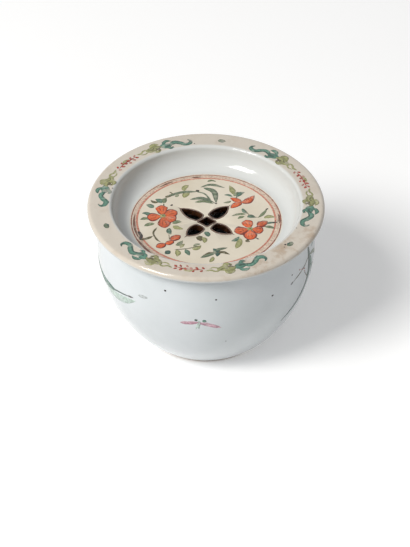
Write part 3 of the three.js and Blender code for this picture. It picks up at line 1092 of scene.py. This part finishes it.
BRANCH = (
    (((-24, 64.5), (-22, 56.0), (-21, 48.0), (-23, 41.0), (-31, 34.0), (-43, 28.0)),
     4.2, "leaf", DEEP_TEAL, 1),
    (((-24, 60.0), (-19, 52.0), (-14, 42.0), (-12, 36.0)), 2.8, "leaf", TEAL, 0),
    (((-21, 57.0), (-12, 53.0), (-5, 45.0)), 2.6, "leaf", LEAF_GREEN, 0),
    (((-19, 60.0), (-8, 61.0), (3, 56.0)), 2.8, "leaf", TEAL, 0),
    (((-18, 47.0), (-8, 44.0), (8, 38.0), (26, 36.0)), 1.2, "line", OLIVE, 0),
    (((-6, 43.5), (2, 47.5), (9, 47.0)), 2.6, "leaf", YELLOW_GREEN, 0),
    (((2, 40.5), (6, 33.0), (13, 29.5)), 2.8, "leaf", LEAF_GREEN, 0),
    (((12, 37.2), (18, 43.0), (26, 45.5)), 3.0, "leaf", TEAL, 0),
    (((18, 36.2), (24, 30.5), (32, 29.5)), 2.4, "leaf", YELLOW_GREEN, 0),
    (((-39, 51.8), (-34, 53.0), (-28, 54.6), (-21, 58.4)), 0.8, "line", OLIVE, 1),
    (((-28, 51.0), (-24, 46.0), (-21, 41.0)), 0.7, "line", OLIVE, 1),
    (((-41, 51.0), (-39, 52.0)), 1.2, "lobe", INK, 1),
    (((-40.6, 56.6), (-39.6, 56.4)), 1.0, "lobe", INK, 1),
    (((-33.8, 55.8), (-32.6, 55.2)), 0.9, "lobe", SEPIA_RED, 1),
    (((-31.4, 54.6), (-30.2, 53.8)), 0.9, "lobe", SEPIA_RED, 1),
    (((-28.8, 53.6), (-27.6, 52.8)), 0.9, "lobe", SEPIA_RED, 1),
    (((-28.4, 51.9), (-27.4, 51.1)), 0.8, "lobe", SEPIA_RED, 1),
)
paint_wall("body_branch", BRANCH, body_enamel)

# The unseen side: leaf pairs along the branch, and flowers and buds on stalks from its bends
BACK_STEM = ((26, 36.0), (48, 40.0), (72, 35.0), (96, 41.0), (116, 44.0), (128, 50.0))
BACK_FLOWERS = ((44, 53.0), (84, 49.0), (102, 29.0), (131, 57.0))
BACK_BUDS = ((60, 56.0, 30), (63, 24.0, -40), (109, 57.0, 60), (119, 36.0, -30))
BACK_LEAF_PAIRS = 15
STALK_WIDTH = 0.6
PETAL_REACH = 6.6
PETAL_BREADTH = 5.2
BUD_HALF = 2.4
BUD_WIDTH = 4.2
LEAF_LEAN = (30, 80)
LEAF_LENGTH = (6.5, 10.0)
LEAF_WIDTH = (2.6, 3.6)
LEAF_BOW = 0.14
RIB_WIDTH = 0.35


def nearest_bend(azimuth):
    """The bend of the stem that a stalk at this azimuth grows from."""
    return min(BACK_STEM, key=lambda point: abs(point[0] - azimuth))


painting = new_painting()
stroke(painting, on_wall, wall(*BACK_STEM), 1.5, "line", OLIVE)
for azimuth, height, lean in BACK_BUDS:
    x, y = azimuth * DEGREE, height
    way = Vector((math.cos(math.radians(lean)), math.sin(math.radians(lean)))) * BUD_HALF
    foot = (x - way.x, y - way.y)
    outlined(painting, on_wall, (foot, (x + way.x, y + way.y)), BUD_WIDTH, "lobe")
    stroke(painting, on_wall, (foot, *wall(nearest_bend(azimuth))), STALK_WIDTH, "line", OLIVE)
for azimuth, height in BACK_FLOWERS:
    middle = (azimuth * DEGREE, height)
    turns = [math.radians(72 * i + azimuth) for i in range(5)]
    tips = [(middle[0] + PETAL_REACH * math.cos(t), height + PETAL_REACH * math.sin(t)) for t in turns]
    flower(painting, on_wall, middle, tips, PETAL_BREADTH)
    root = nearest_bend(azimuth)
    halfway = ((azimuth + root[0]) / 2, (height + root[1]) / 2 - 1)
    stroke(painting, on_wall, wall((azimuth, height), halfway, root), STALK_WIDTH, "line", OLIVE)
painted_piece("body_back_flowers", painting, body_enamel, "box")

painting = new_painting()
for number, station in enumerate(smooth_line(wall(*BACK_STEM), BACK_LEAF_PAIRS)):
    for side in (-1, 1):
        lean = math.radians(random.uniform(*LEAF_LEAN)) * side
        length = random.uniform(*LEAF_LENGTH)
        way = Vector((math.cos(lean), math.sin(lean)))
        bow = Vector((-way.y, way.x)) * side * length * LEAF_BOW
        root = Vector(station)
        belly = tuple(root + way * length * 0.5 + bow)
        colours = (TEAL, LEAF_GREEN, YELLOW_GREEN, GRASS)[(number + 2 * (side > 0)) % 4]
        blade = (tuple(root), belly, tuple(root + way * length))
        rib = (tuple(root + way), belly, tuple(root + way * length * 0.85))
        stroke(painting, on_wall, blade, random.uniform(*LEAF_WIDTH), "leaf", colours)
        stroke(painting, on_wall, rib, RIB_WIDTH, "line", OLIVE, 3)
painted_piece("body_back_leaves", painting, body_enamel, "box")


# Kiln specks
# Grains of iron in the clay burnt through the glaze as small dark spots, on the rim and the wall.
# Each is given by its azimuth, its height or its distance inwards, and its size.
SPECK_RISE = 0.02
BODY_SPECKS = (
    (-111, 59.8, 0.8), (-85, 57.2, 0.7), (-54, 51.5, 0.8), (-79, 28.4, 0.5),
    (30, 58, 0.7), (95, 61, 0.6), (140, 25, 0.8), (190, 33, 0.6),
)
RIM_SPECKS = (
    (166.5, 3.6, 0.9), (97, 2.4, 0.9), (-25, 3.2, 0.8),
    (-41, 1.4, 1.4), (-43, 0.6, 0.8), (-39, -1.0, 0.8),
)

speck_enamel = enamel("iron_specks", IRON_SPECK, 0.2)
painting = new_painting()
for azimuth, height, size in BODY_SPECKS:
    reach = size * 0.8
    line = wall((azimuth - reach, height), (azimuth + reach, height))
    stroke(painting, on_wall, line, size * 1.4, "lobe", INK, rise=SPECK_RISE)
painted_piece("body_specks", painting, speck_enamel, "box")
painting = new_painting()
for azimuth, inward, size in RIM_SPECKS:
    run = math.radians(azimuth) * RIM_MIDDLE
    line = ((run - size * 0.4, inward), (run + size * 0.4, inward))
    stroke(painting, on_rim_top, line, size, "lobe", INK, rise=SPECK_RISE)
painted_piece("rim_specks", painting, speck_enamel, "cover")
